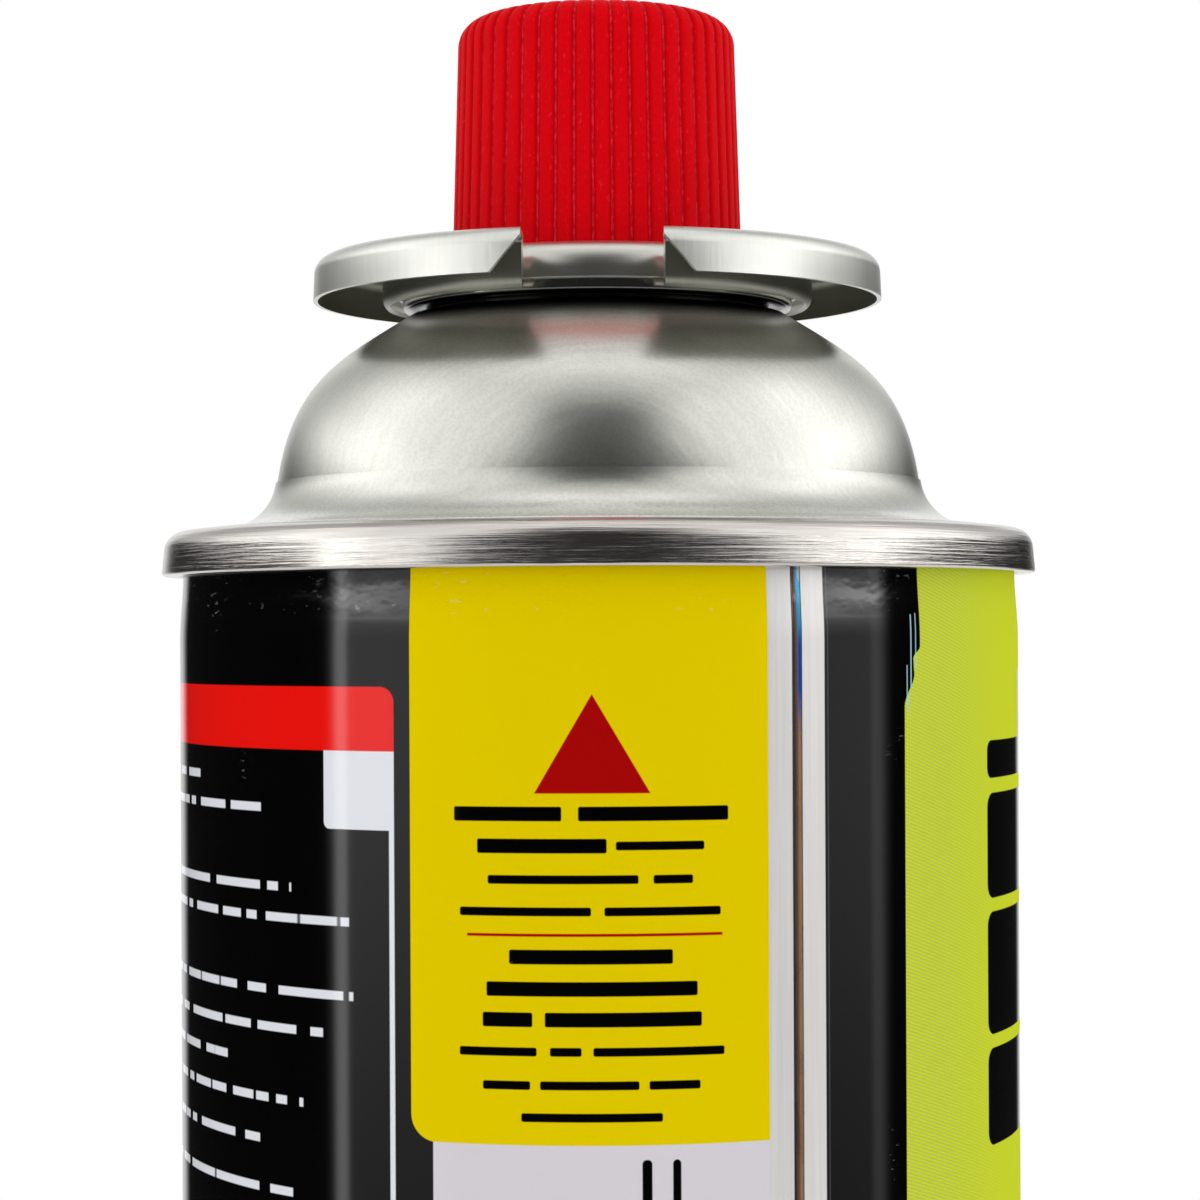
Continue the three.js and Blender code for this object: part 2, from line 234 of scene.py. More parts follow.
foot_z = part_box("can")[0].z
seam_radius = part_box("can")[1].x
seam_overhang = 1.35 * MM
wall_radius = seam_radius - seam_overhang
mm_per_degree = math.radians(1) * wall_radius / MM
seam_height = 3.45 * MM
brim_rise = 21.5 * MM
can_top = brim_z - brim_rise
seam_low = can_top - seam_height
foot_seam_top = foot_z + seam_height
seam_tuck = 0.2 * MM
neck_inset = 0.27 * MM
neck_length = 5 * MM


def arc(r, z, radius, start, end, steps):
    points = []
    for i in range(steps + 1):
        angle = math.radians(start + (end - start) * i / steps)
        points.append((r + radius * math.cos(angle), z + radius * math.sin(angle)))
    return points


def turned(name, outline, steps=192, sharp=38):
    bm = bmesh.new()
    corners = [bm.verts.new((0, -r, z)) for r, z in outline]
    edges = [bm.edges.new(pair) for pair in zip(corners, corners[1:])]
    bmesh.ops.spin(bm, geom=corners + edges, cent=(0, 0, 0), axis=(0, 0, 1), angle=2 * math.pi,
                   steps=steps, use_merge=True)
    bmesh.ops.remove_doubles(bm, verts=bm.verts[:], dist=1e-6)
    bmesh.ops.recalc_face_normals(bm, faces=bm.faces[:])
    return finish_mesh(bm, name, sharp)


def solid_sheet(piece, thickness, inside=0):
    """Gives an open sheet its thickness, away from its outer face, and eases the cut edges."""
    solid = piece.modifiers.new("sheet", "SOLIDIFY")
    solid.material_offset = inside
    solid.thickness = thickness
    solid.offset = -1
    solid.use_even_offset = True
    ease = piece.modifiers.new("eased_edges", "BEVEL")
    ease.width = 0.06 * MM
    ease.segments = 2
    ease.limit_method = "ANGLE"
    ease.angle_limit = math.radians(50)
    ease.harden_normals = True


def neck_curve(z_wall, z_seam):
    points = []
    steps = 10
    for i in range(steps + 1):
        share = i / steps
        inset = neck_inset * (3 * share ** 2 - 2 * share ** 3)
        points.append((wall_radius - inset, z_wall + (z_seam - z_wall) * share))
    return points


wall_outline = neck_curve(foot_seam_top + neck_length, foot_seam_top - seam_tuck)[::-1]
wall_rings = 24
wall_low, wall_high = wall_outline[-1][1], seam_low - neck_length
for i in range(1, wall_rings):
    wall_outline.append((wall_radius, wall_low + (wall_high - wall_low) * i / wall_rings))
wall_outline += neck_curve(wall_high, seam_low + seam_tuck)
can_wall = turned("can_wall", wall_outline, steps=256)


def new_group(name, inputs, outputs):
    group = bpy.data.node_groups.new(name, "ShaderNodeTree")
    for socket in inputs:
        kind = "NodeSocketVector" if socket == "Vector" else "NodeSocketFloat"
        group.interface.new_socket(socket, in_out="INPUT", socket_type=kind)
    for socket in outputs:
        group.interface.new_socket(socket, in_out="OUTPUT", socket_type="NodeSocketFloat")
    return group, group.nodes.new("NodeGroupInput").outputs, group.nodes.new("NodeGroupOutput").inputs


def use_group(tree, group, **values):
    node = add_node(tree, "ShaderNodeGroup", node_tree=group)
    for name, value in values.items():
        feed(tree, node.inputs[name.replace("_", " ")], value)
    return node


def round_the_can():
    """Azimuth in degrees from the front, and height in millimetres, of a point on the can."""
    group, _, result = new_group("place_on_can", [], ["Azimuth", "Height"])
    x, y, z = split_xyz(group, coordinates(group))
    feed(group, result["Azimuth"], azimuth_of(group, x, y))
    feed(group, result["Height"], calc(group, "MULTIPLY", z, 1 / MM))
    return group


def edge_mask(tree, depth, sharpness=14.0):
    """One inside a printed edge and nought outside it, from the depth inside the edge."""
    return calc(tree, "MULTIPLY_ADD", depth, sharpness, 0.5, clamp=True)


def ink_block():
    """A printed block with rounded corners: sizes in millimetres along the wall."""
    names = ["Azimuth", "Height", "Middle", "Level", "Half Width", "Half Height", "Corner"]
    group, pin, result = new_group("ink_block", names, ["Mask"])
    turn = calc(group, "WRAP", calc(group, "SUBTRACT", pin["Azimuth"], pin["Middle"]), 180.0, -180.0)
    along = calc(group, "MULTIPLY", turn, mm_per_degree)
    up = calc(group, "SUBTRACT", pin["Height"], pin["Level"])
    sides = []
    for value, half in ((along, "Half Width"), (up, "Half Height")):
        side = calc(group, "SUBTRACT", calc(group, "ABSOLUTE", value), pin[half])
        sides.append(calc(group, "ADD", side, pin["Corner"]))
    outside = [calc(group, "MAXIMUM", side, 0.0) for side in sides]
    squares = [calc(group, "MULTIPLY", side, side) for side in outside]
    distance = calc(group, "SQRT", calc(group, "ADD", *squares))
    inside = calc(group, "MINIMUM", calc(group, "MAXIMUM", *sides), 0.0)
    depth = calc(group, "SUBTRACT", pin["Corner"], calc(group, "ADD", distance, inside))
    feed(group, result["Mask"], edge_mask(group, depth))
    return group


def fine_lines():
    """Hairlines of a halftone: sizes in millimetres, lean as rise over run."""
    group, pin, result = new_group("fine_lines", ["Azimuth", "Height", "Pitch", "Lean"], ["Mask"])
    along = calc(group, "MULTIPLY", pin["Azimuth"], mm_per_degree)
    level = calc(group, "MULTIPLY_ADD", along, pin["Lean"], pin["Height"])
    turns = calc(group, "MULTIPLY", calc(group, "DIVIDE", level, pin["Pitch"]), 2 * math.pi)
    feed(group, result["Mask"], calc(group, "MULTIPLY_ADD", calc(group, "SINE", turns), 0.5, 0.5))
    return group


def bar_row():
    """A row of plain bars of uneven length between two azimuths in degrees."""
    names = ["Azimuth", "Height", "Level", "Left", "Right", "Half Height", "Start"]
    group, pin, result = new_group("bar_row", names, ["Mask"])
    up = calc(group, "ABSOLUTE", calc(group, "SUBTRACT", pin["Height"], pin["Level"]))
    bar = edge_mask(group, calc(group, "SUBTRACT", pin["Half Height"], up), 12.0)
    after = edge_mask(group, calc(group, "SUBTRACT", pin["Azimuth"], pin["Left"]), 6.0)
    before = edge_mask(group, calc(group, "SUBTRACT", pin["Right"], pin["Azimuth"]), 6.0)
    gaps = add_node(group, "ShaderNodeTexNoise", noise_dimensions="1D")
    feed(group, gaps.inputs["W"], calc(group, "MULTIPLY_ADD", pin["Azimuth"], 0.3, pin["Start"]))
    gaps.inputs["Scale"].default_value = 1.0
    gaps.inputs["Detail"].default_value = 0.0
    broken = ramp(group, gaps.outputs["Fac"], 0.59, 0.62, 1.0, 0.0)
    row = calc(group, "MULTIPLY", bar, calc(group, "MULTIPLY", after, before))
    feed(group, result["Mask"], calc(group, "MULTIPLY", row, broken))
    return group


def noise(tree, vector, scale=1.0, detail=2.0):
    node = add_node(tree, "ShaderNodeTexNoise")
    feed(tree, node.inputs["Vector"], vector)
    node.inputs["Scale"].default_value = scale
    node.inputs["Detail"].default_value = detail
    return node.outputs["Fac"]


def sheet_grain():
    """Grain of a rolled or drawn surface: feed it stretched coordinates."""
    group, pin, result = new_group("sheet_grain", ["Vector", "Depth"], ["Shade", "Relief", "Cloud"])
    lines = noise(group, pin["Vector"], detail=4.0)
    centred = calc(group, "SUBTRACT", lines, 0.5)
    feed(group, result["Shade"], calc(group, "MULTIPLY_ADD", centred, pin["Depth"], 1.0))
    feed(group, result["Relief"], lines)
    feed(group, result["Cloud"], noise(group, coordinates(group), 190.0, 5.0))
    return group


def scuffs():
    """Short bright scratches in loose clusters: feed it stretched coordinates."""
    group, pin, result = new_group("scuffs", ["Vector", "Spread"], ["Mask"])
    marks = ramp(group, noise(group, pin["Vector"]), 0.64, 0.7)
    clusters = noise(group, coordinates(group), 130.0)
    spot = ramp(group, clusters, calc(group, "SUBTRACT", 0.72, pin["Spread"]), 0.78)
    feed(group, result["Mask"], calc(group, "MULTIPLY", marks, spot))
    return group


place_on_can = round_the_can()
block_of_ink = ink_block()
row_of_bars = bar_row()
halftone = fine_lines()
grain_of_sheet = sheet_grain()
small_scuffs = scuffs()
print_black = (0.0008, 0.0007, 0.001, 1)
print_yellow = (0.765, 0.588, 0.0, 1)
print_grey = (0.68, 0.645, 0.69, 1)
print_lime = (0.62, 0.7, 0.022, 1)
print_red = (0.86, 0.002, 0.002, 1)
print_deep_red = (0.4, 0.001, 0.001, 1)
print_white = (0.76, 0.78, 0.82, 1)
bare_margin = (0.79, 0.78, 0.76, 1)
torn_ink = (0.36, 0.6, 0.66, 1)
screened_lime = (0.43, 0.53, 0.11, 1)
screened_red = (0.72, 0.02, 0.004, 1)
weld_shadow = (0.012, 0.011, 0.012, 1)
overlap_grey = (0.05, 0.05, 0.052, 1)
pale_wear_and_highlight = (0.6, 0.6, 0.58, 1)


def paint(tree, under, ink, mask):
    mix = add_node(tree, "ShaderNodeMix", data_type="RGBA")
    feed(tree, mix.inputs[0], mask)
    feed(tree, mix.inputs[6], under)
    feed(tree, mix.inputs[7], ink)
    return mix.outputs[2]


def shaded(tree, colour, shade):
    """A colour times a shade that changes over the surface."""
    tint = add_node(tree, "ShaderNodeMix", data_type="RGBA", blend_type="MULTIPLY")
    tint.inputs[0].default_value = 1.0
    tint.inputs[6].default_value = colour
    feed(tree, tint.inputs[7], shade)
    return tint.outputs[2]


def press_relief(tree, shader, height, distance, strength=1.0):
    bump = add_node(tree, "ShaderNodeBump")
    bump.inputs["Strength"].default_value = strength
    bump.inputs["Distance"].default_value = distance
    feed(tree, bump.inputs["Height"], height)
    feed(tree, shader.inputs["Normal"], bump.outputs[0])
    return bump.outputs[0]


def block(tree, place, left, right, low, high, corner=0.0):
    """Mask of a block between two azimuths in degrees and two heights in millimetres."""
    node = use_group(tree, block_of_ink, Azimuth=place.outputs["Azimuth"], Height=place.outputs["Height"],
                     Middle=(left + right) / 2, Half_Width=(right - left) / 2 * mm_per_degree,
                     Level=(low + high) / 2, Half_Height=(high - low) / 2, Corner=corner)
    return node.outputs["Mask"]


def blocks(tree, place, *sizes):
    mask = block(tree, place, *sizes[0])
    for size in sizes[1:]:
        mask = calc(tree, "MAXIMUM", mask, block(tree, place, *size))
    return mask


def stretched(tree, scale, turn=0.0):
    mapping = add_node(tree, "ShaderNodeMapping")
    feed(tree, mapping.inputs["Vector"], coordinates(tree))
    mapping.inputs["Rotation"].default_value = (0, 0, math.radians(turn))
    mapping.inputs["Scale"].default_value = scale
    return mapping.outputs[0]


def front_bars(tree, place, seam):
    """Rows of plain bars on the panel: depth under the seam, half height, and the bars' ends."""
    rows = ((16.9, 0.5, (-17.8, -4.6), (-2.6, 15.6)), (19.1, 0.5, (-14.9, 0.8)), (19.1, 0.3, (1.9, 12.6)),
            (21.4, 0.3, (-13.6, 4.6), (6.4, 11.2)), (23.6, 0.3, (-17.1, -1.1), (0.5, 14.6)),
            (26.7, 0.5, (-11.0, 8.7)), (28.9, 0.5, (-13.8, 11.7)), (31.0, 0.5, (-14.3, -8.2), (-6.7, 12.2)),
            (33.2, 0.3, (-17.2, -7.7), (-6.1, -2.3), (-0.9, 15.0)),
            (35.5, 0.3, (-14.3, -8.5), (-7.3, 4.6), (5.8, 12.0)), (37.7, 0.3, (-9.6, 7.4)))
    sizes = []
    for drop, half, *bars in rows:
        for left, right in bars:
            sizes.append((left, right, seam - drop - half, seam - drop + half, 0.15))
    return blocks(tree, place, *sizes)


def side_bars(tree, place, seam):
    """Rows of plain bars on the left: depth under the seam and right end."""
    mask = None
    rows = ((14.8, -65), (16.9, -47.9), (22.5, -42), (24.7, -32.4), (29.9, -31.8), (32.6, -36.6),
            (35.1, -56.2), (37.7, -40), (40.7, -48.4), (44.2, -41.8), (50.0, -38), (52.4, -44))
    for number, (drop, right) in enumerate(rows):
        row = use_group(tree, row_of_bars, Azimuth=place.outputs["Azimuth"], Height=place.outputs["Height"],
                        Level=seam - drop, Left=-104.0, Right=right, Half_Height=0.31, Start=number * 7.3)
        mask = row.outputs["Mask"] if mask is None else calc(tree, "MAXIMUM", mask, row.outputs["Mask"])
    return mask


def triangle(tree, place, middle, low, high, half):
    """Mask of an upright triangle: heights and half its base in millimetres."""
    turn = calc(tree, "SUBTRACT", place.outputs["Azimuth"], middle)
    along = calc(tree, "ABSOLUTE", calc(tree, "MULTIPLY", turn, mm_per_degree))
    above = calc(tree, "SUBTRACT", place.outputs["Height"], low)
    narrow = calc(tree, "MULTIPLY_ADD", above, -half / (high - low), half)
    sides = edge_mask(tree, calc(tree, "SUBTRACT", narrow, along))
    return calc(tree, "MULTIPLY", sides, edge_mask(tree, above))


def print_material():
    """The inks: blocks go by azimuths in degrees and heights in millimetres under the seam."""
    material, tree, shader = new_material("printed_tinplate")
    place = use_group(tree, place_on_can)
    azimuth, height = place.outputs["Azimuth"], place.outputs["Height"]
    top, low, seam = can_top / MM, foot_z / MM, seam_low / MM
    # Bright field with its halftone, and the torn ink along its upper left edge
    top_edge, torn_edge, low_edge = 44.2, 42.8, 41.3
    round_back = calc(tree, "WRAP", azimuth, 221.0, -139.0)
    lines = use_group(tree, halftone, Azimuth=round_back, Height=height, Pitch=0.26, Lean=0.32)
    screen = calc(tree, "MULTIPLY", lines.outputs["Mask"], ramp(tree, round_back, 46.0, 68.0, 0.75, 0.12))
    jags = calc(tree, "SUBTRACT", noise(tree, stretched(tree, (900, 900, 260))), 0.5)
    torn = calc(tree, "MINIMUM", calc(tree, "MULTIPLY_ADD", jags, 2.2, torn_edge), top_edge)
    edge = blend(tree, torn, top_edge, ramp(tree, height, seam - 6.4, seam - 5.6))
    edge = blend(tree, low_edge, edge, ramp(tree, height, seam - 9.9, seam - 7.4))
    lime = ramp(tree, calc(tree, "SUBTRACT", round_back, edge), 0.0, 0.15)
    colour = paint(tree, print_black, paint(tree, print_lime, screened_lime, screen), lime)
    slivers = blocks(tree, place, (42.45, 42.65, seam - 8.6, seam - 3.3, 0.05),
                     (43.35, 43.5, seam - 7.2, seam - 3.2, 0.05),
                     (41.75, 41.9, seam - 9.8, seam - 6.9, 0.05),
                     (42.05, 42.15, seam - 10.4, seam - 8.8, 0.05))
    colour = paint(tree, colour, torn_ink, slivers)
    # Large black shapes on the bright field
    left, right = 60.6, 102
    shapes = blocks(tree, place, (left, right, seam - 15.4, seam - 12.6, 0.8),
                    (78.0, right, seam - 15.0, seam - 7.4, 0.5),
                    (left, right, seam - 24.3, seam - 16.5, 1.1),
                    (left, right, seam - 34.4, seam - 25.3, 1.1),
                    (left, right, seam - 42.6, seam - 35.4, 1.1))
    colour = paint(tree, colour, print_black, shapes)
    # Left of the panel: the red band, the pale block under its end, a thin line and rows of bars
    band_start, band_end = -130.0, -25.8
    band_foot, panel_foot = seam - 12.7, low + 9
    band = blocks(tree, place, (band_start, band_end, band_foot, seam - 8.2, 1.1),
                  (band_start, band_end, band_foot, seam - 10.5))
    mottle = use_group(tree, halftone, Azimuth=azimuth, Height=height, Pitch=0.3, Lean=-0.8)
    screen = calc(tree, "MULTIPLY", mottle.outputs["Mask"], 0.35)
    colour = paint(tree, colour, paint(tree, print_red, screened_red, screen), band)
    pale = blocks(tree, place, (-36.3, band_end, seam - 18.2, band_foot, 0.5),
                  (-36.3, band_end, seam - 15.0, band_foot),
                  (-26.5, band_end, panel_foot, band_foot))
    colour = paint(tree, colour, print_white, calc(tree, "MAXIMUM", pale, side_bars(tree, place, seam)))
    # Front panels, with the mark that lines the canister up, and rows of bars
    colour = paint(tree, colour, print_grey, block(tree, place, -20.7, 21.5, panel_foot, seam - 38.5))
    upright = blocks(tree, place, (4.9, 6.1, low + 40, seam - 40.6, 0.3),
                     (8.6, 9.6, low + 34, seam - 40.6, 0.3))
    colour = paint(tree, colour, print_black, upright)
    panel = block(tree, place, -23.6, 24.0, seam - 39.6, top + 4, 1.9)
    colour = paint(tree, colour, print_yellow, panel)
    bars = front_bars(tree, place, seam)
    colour = paint(tree, colour, print_black, bars)
    mark = triangle(tree, place, -0.9, seam - 15.5, seam - 8.7, 4.0)
    colour = paint(tree, colour, print_deep_red, mark)
    colour = paint(tree, colour, print_deep_red, block(tree, place, -16.2, 14.8, seam - 25.3, seam - 25.1))
    # Bare stripes on both sides of the weld, and the hairline of the ink's overlap
    margins = blocks(tree, place, (20.8, 24.05, low, top), (25.3, 28.55, low, top))
    grain = use_group(tree, grain_of_sheet, Vector=stretched(tree, (3000, 3000, 60)), Depth=0.25)
    colour = paint(tree, colour, shaded(tree, bare_margin, grain.outputs["Shade"]), margins)
    colour = paint(tree, colour, weld_shadow, block(tree, place, 24.02, 25.4, low, top))
    colour = paint(tree, colour, overlap_grey, block(tree, place, 28.95, 29.1, low, top))
    # Wear: small scratches all over, and a pale mottled line where the wall starts to turn in, partly wear
    # and partly a painted highlight
    # The neck line is painted pale metal: partly rubbing, partly a painted highlight of the light it
    # catches
    neck_wear_and_highlight = calc(tree, "MULTIPLY", ramp(tree, height, seam - 3.3, seam - 2.8),
                  ramp(tree, height, seam - 2.6, seam - 2.2, 1.0, 0.3))
    marks = use_group(tree, small_scuffs, Vector=stretched(tree, (1500, 1500, 5200)), Spread=0.04)
    neck_spots = use_group(tree, small_scuffs, Vector=stretched(tree, (1100, 1100, 2600)), Spread=0.36)
    neck_wear_and_highlight = calc(tree, "MULTIPLY", calc(tree, "MULTIPLY", neck_spots.outputs["Mask"], neck_wear_and_highlight), 0.5)
    wear_and_highlight = calc(tree, "MAXIMUM", calc(tree, "MULTIPLY", marks.outputs["Mask"], 0.3), neck_wear_and_highlight)
    feed(tree, shader.inputs["Base Color"], paint(tree, colour, pale_wear_and_highlight, wear_and_highlight))
    # Gloss: the black and red inks are varnished, and the yellow and the bright field are duller
    dull = calc(tree, "SUBTRACT", panel, calc(tree, "MAXIMUM", bars, mark), clamp=True)
    dull = calc(tree, "MAXIMUM", dull, calc(tree, "SUBTRACT", lime, shapes, clamp=True))
    dull = calc(tree, "MAXIMUM", dull, margins)
    feed(tree, shader.inputs["Roughness"], calc(tree, "MULTIPLY_ADD", grain.outputs["Cloud"], 0.06, 0.38))
    thin_ink = calc(tree, "MULTIPLY", calc(tree, "MAXIMUM", panel, lime), 0.07)
    feed(tree, shader.inputs["Metallic"], blend(tree, thin_ink, 0.6, margins))
    feed(tree, shader.inputs["Coat Weight"], blend(tree, 0.9, 0.0, dull))
    shader.inputs["Coat Roughness"].default_value = 0.08
    shader.inputs["Specular IOR Level"].default_value = 0.0
    # The sheet isn't quite even, and it has small dents where it was squeezed in at the neck
    dents = noise(tree, stretched(tree, (420, 420, 700)))
    neck = calc(tree, "MULTIPLY_ADD", ramp(tree, height, seam - 3.4, seam - 2.0), 0.4, 0.02)
    relief = press_relief(tree, shader, calc(tree, "MULTIPLY", dents, neck), 0.00005)
    feed(tree, shader.inputs["Coat Normal"], relief)
    return material


can_wall.data.materials.append(print_material())
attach(can_wall, "canister")
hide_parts("can")

# Weld. The wall's edges overlap by half a millimetre and are welded into one slightly raised
# line, left bare and coloured blue and copper by the heat.

weld_start, weld_end = 24.3, 25.3
weld_rise = 0.03 * MM
weld_sheet = 0.09 * MM


def weld_strip():
    bm = bmesh.new()
    outline = [(r + weld_rise, z) for r, z in wall_outline]
    start = math.radians(weld_start)
    corners = [bm.verts.new((r * math.sin(start), -r * math.cos(start), z)) for r, z in outline]
    edges = [bm.edges.new(pair) for pair in zip(corners, corners[1:])]
    bmesh.ops.spin(bm, geom=corners + edges, cent=(0, 0, 0), axis=(0, 0, 1),
                   angle=math.radians(weld_end - weld_start), steps=4)
    bmesh.ops.recalc_face_normals(bm, faces=bm.faces[:])
    if bm.faces[0].normal.y > 0:
        bmesh.ops.reverse_faces(bm, faces=bm.faces[:])
    return finish_mesh(bm, "weld")


def weld_material():
    """Copper on its right half, which turns blue and then bare towards the seam."""
    scorched, copper = (0.03, 0.018, 0.03, 1), (0.36, 0.2, 0.1, 1)
    deep_blue, pale_blue, bare_metal = (0.004, 0.06, 0.34, 1), (0.03, 0.3, 0.5, 1), (0.62, 0.6, 0.57, 1)
    material, tree, shader = new_material("heat_tinted_weld")
    shader.inputs["Metallic"].default_value = 0.8
    place = use_group(tree, place_on_can)
    azimuth, height = place.outputs["Azimuth"], place.outputs["Height"]
    seam = seam_low / MM
    mottle = noise(tree, stretched(tree, (1600, 1600, 330)))
    level = calc(tree, "ADD", height, calc(tree, "MULTIPLY_ADD", mottle, 3.0, -1.5))
    across = ramp(tree, azimuth, weld_start + 0.25, weld_start + 0.65)
    colour = paint(tree, scorched, copper, calc(tree, "MULTIPLY_ADD", across, 0.7, 0.25))
    blue = calc(tree, "MULTIPLY", ramp(tree, level, seam - 13.0, seam - 7.5), across)
    colour = paint(tree, colour, deep_blue, blue)
    blue = calc(tree, "MULTIPLY", ramp(tree, level, seam - 5.5, seam - 2.5), across)
    colour = paint(tree, colour, pale_blue, blue)
    bare = calc(tree, "MULTIPLY", ramp(tree, level, seam - 2.6, seam - 1.4), ramp(tree, mottle, 0.4, 0.6))
    feed(tree, shader.inputs["Base Color"], paint(tree, colour, bare_metal, bare))
    feed(tree, shader.inputs["Roughness"], ramp(tree, mottle, 0.3, 0.7, 0.2, 0.42))
    return material


weld = weld_strip()
solid_sheet(weld, weld_sheet)
weld.data.materials.append(weld_material())
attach(weld, "canister")
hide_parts("can")

# Upper seam. The edges of wall and dome are rolled together and pressed flat, which polishes
# the metal and leaves fine lines running round it.

seam_thickness = 1.85 * MM
seam_round = 1.55 * MM
seam_foot = 0.28 * MM
seam_lean = 5.5
seam_inner = seam_radius - seam_thickness
wall_at_seam = wall_radius - neck_inset
seam_lip = 0.15 * MM
seam_hem = 0.25 * MM


def seam_face(low):
    """Outside of the seam: a small rounding, a face that leans in, and a large rounding."""
    lean = math.radians(seam_lean)
    face = seam_height - seam_foot - seam_round + (seam_round - seam_foot) * math.sin(lean)
    shift = (seam_round - seam_foot) * math.cos(lean) + face * math.tan(lean)
    foot_r = seam_radius - seam_foot
    return (arc(foot_r, low + seam_foot, seam_foot, -90, seam_lean, 8)
            + arc(foot_r - shift, low + seam_height - seam_round, seam_round, seam_lean, 90, 16))


def seam_outline(low):
    lip = arc(seam_inner + seam_lip, low + seam_height - seam_lip, seam_lip, 90, 180, 6)
    return [(wall_at_seam, low + seam_hem), (wall_at_seam + seam_hem, low)] + seam_face(low) + lip


def metal_material(name, colour, roughness, stretch, turn=0.0, depth=0.12, relief=0.00001):
    """Bare tinplate: its grain runs as the sheet was rolled or the edge was drawn."""
    material, tree, shader = new_material(name)
    shader.inputs["Metallic"].default_value = 1.0
    grain = use_group(tree, grain_of_sheet, Vector=stretched(tree, stretch, turn), Depth=depth)
    scuff_share = 0.6
    longer = tuple(side * scuff_share for side in stretch)
    marks = use_group(tree, small_scuffs, Vector=stretched(tree, longer, turn), Spread=0.1)
    plain = shaded(tree, colour, grain.outputs["Shade"])
    bright = tuple(min(1.0, part * 1.25) for part in colour)
    feed(tree, shader.inputs["Base Color"], paint(tree, plain, bright, marks.outputs["Mask"]))
    rough = calc(tree, "MULTIPLY_ADD", grain.outputs["Cloud"], 0.08, roughness - 0.04)
    feed(tree, shader.inputs["Roughness"], rough)
    press_relief(tree, shader, grain.outputs["Relief"], relief)
    return material


upper_seam = turned("upper_seam", seam_outline(seam_low), steps=256, sharp=45)
upper_seam.data.materials.append(metal_material("seam_tinplate", (0.62, 0.59, 0.56, 1), 0.22,
                                               (110, 110, 5200), depth=0.35, relief=0.00005))
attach(upper_seam, "canister")
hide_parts("can")

# Dome. A drawn tinplate end: a sunk panel inside the seam, a flare, and a dome whose mouth is
# rolled outwards into a bead. Satin bare metal, with the grain of the rolling mill.

dome_foot = (25.34 * MM, can_top + 3.2 * MM)
dome_crown = (14.8 * MM, can_top + 16.97 * MM)
flare_radius = 4.2 * MM
sink_depth = 3.2 * MM
sink_width = 1.2 * MM
bead_radius = 15.35 * MM
bead_inner = 13.05 * MM
bead_height = 3.3 * MM
crevice = 0.43 * MM


def bezier(p0, p1, p2, p3, steps):
    points = []
    for i in range(steps + 1):
        t = i / steps
        weights = ((1 - t) ** 3, 3 * t * (1 - t) ** 2, 3 * t * t * (1 - t), t ** 3)
        points.append(tuple(sum(w * p[k] for w, p in zip(weights, (p0, p1, p2, p3))) for k in (0, 1)))
    return points


def dome_outline():
    foot_lean, crown_lean, flare_lean = math.radians(7), math.radians(58), math.radians(17)
    lower, upper = 8.6 * MM, 6.6 * MM
    sink, fold = sink_width / 2, 0.5 * MM
    knee = (dome_foot[0] - lower * math.sin(foot_lean), dome_foot[1] + lower * math.cos(foot_lean))
    shoulder = (dome_crown[0] + upper * math.sin(crown_lean), dome_crown[1] - upper * math.cos(crown_lean))
    flare_z = dome_foot[1] + flare_radius * math.sin(flare_lean)
    outline = [(seam_inner, can_top - seam_lip)]
    outline += arc(seam_inner - sink, can_top - sink_depth + sink, sink, 0, -180, 10)
    outline += arc(seam_inner - sink_width - fold, flare_z - flare_radius - fold, fold, 0, 90, 5)
    outline += arc(dome_foot[0] + flare_radius, flare_z, flare_radius, 270, 188, 16)
    outline += bezier(dome_foot, knee, shoulder, dome_crown, 40)
    return outline


def mouth_outline():
    """The dome's mouth, the neck inside it, and the bead, which is rounder above than below."""
    edge = 0.35 * MM
    neck = bead_inner + 0.45 * MM
    bead_round = (bead_radius - bead_inner) / 2
    middle = (bead_radius + bead_inner) / 2
    low = dome_crown[1] + crevice
    return (arc(dome_crown[0] - edge, dome_crown[1] - 0.3 * MM, edge, 60, 150, 4)
            + [(neck, dome_crown[1] - edge), (neck, low + 0.3 * MM), (middle, low)]
            + arc(bead_radius - edge, low + edge, edge, 270, 360, 6)
            + arc(middle, low + bead_height - bead_round, bead_round, 0, 180, 12)
            + [(bead_inner, low - 2 * MM)])


def dome_material():
    """The satin sheet, with painted shade under the bead and a painted highlight on the flare near the
    seam.
    """
    crevice_shade_colour, tarnish, flare_highlight_colour = (0.02, 0.02, 0.018, 1), (0.5, 0.5, 0.46, 1), (0.94, 0.94, 0.9, 1)
    material = metal_material("satin_tinplate", (0.65, 0.65, 0.6, 1), 0.3, (260, 3400, 300), 48, depth=0.22)
    tree = material.node_tree
    shader = tree.nodes["Principled BSDF"]
    position = coordinates(tree)
    z = split_xyz(tree, position)["Z"]
    low, high = dome_crown[1], dome_crown[1] + crevice
    satin = shader.inputs["Roughness"].links[0].from_socket
    feed(tree, shader.inputs["Roughness"], blend(tree, satin, 0.15, ramp(tree, z, low, high)))
    colour = shader.inputs["Base Color"].links[0].from_socket
    # Painted highlight: the lower flare next to the seam is painted paler
    colour = paint(tree, colour, flare_highlight_colour, ramp(tree, z, can_top + 0.6 * MM, can_top + 2.0 * MM, 0.8, 0.0))
    speckle = noise(tree, position, 4200.0, 1.0)
    colour = paint(tree, colour, tarnish, ramp(tree, speckle, 0.35, 0.6, 0.3, 0.0))
    # Painted shade: near-black colour over the dome's top under the bead, the crevice and the bead's foot,
    # where little light gets in
    crevice_shade = between(tree, z, low - 1.7 * MM, low - 0.1 * MM, high + 0.15 * MM, high + 0.5 * MM)
    feed(tree, shader.inputs["Base Color"], paint(tree, colour, crevice_shade_colour, crevice_shade))
    return material


dome = turned("dome", dome_outline() + mouth_outline(), steps=256, sharp=45)
dome.data.materials.append(dome_material())
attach(dome, "canister")
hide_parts("can")

# Base. The other end of the can: the same seam, which the canister stands on, round a panel
# that is dished inwards.

base_recess = 4.2 * MM
base_rise = 5.4 * MM
base_fold = 0.75 * MM


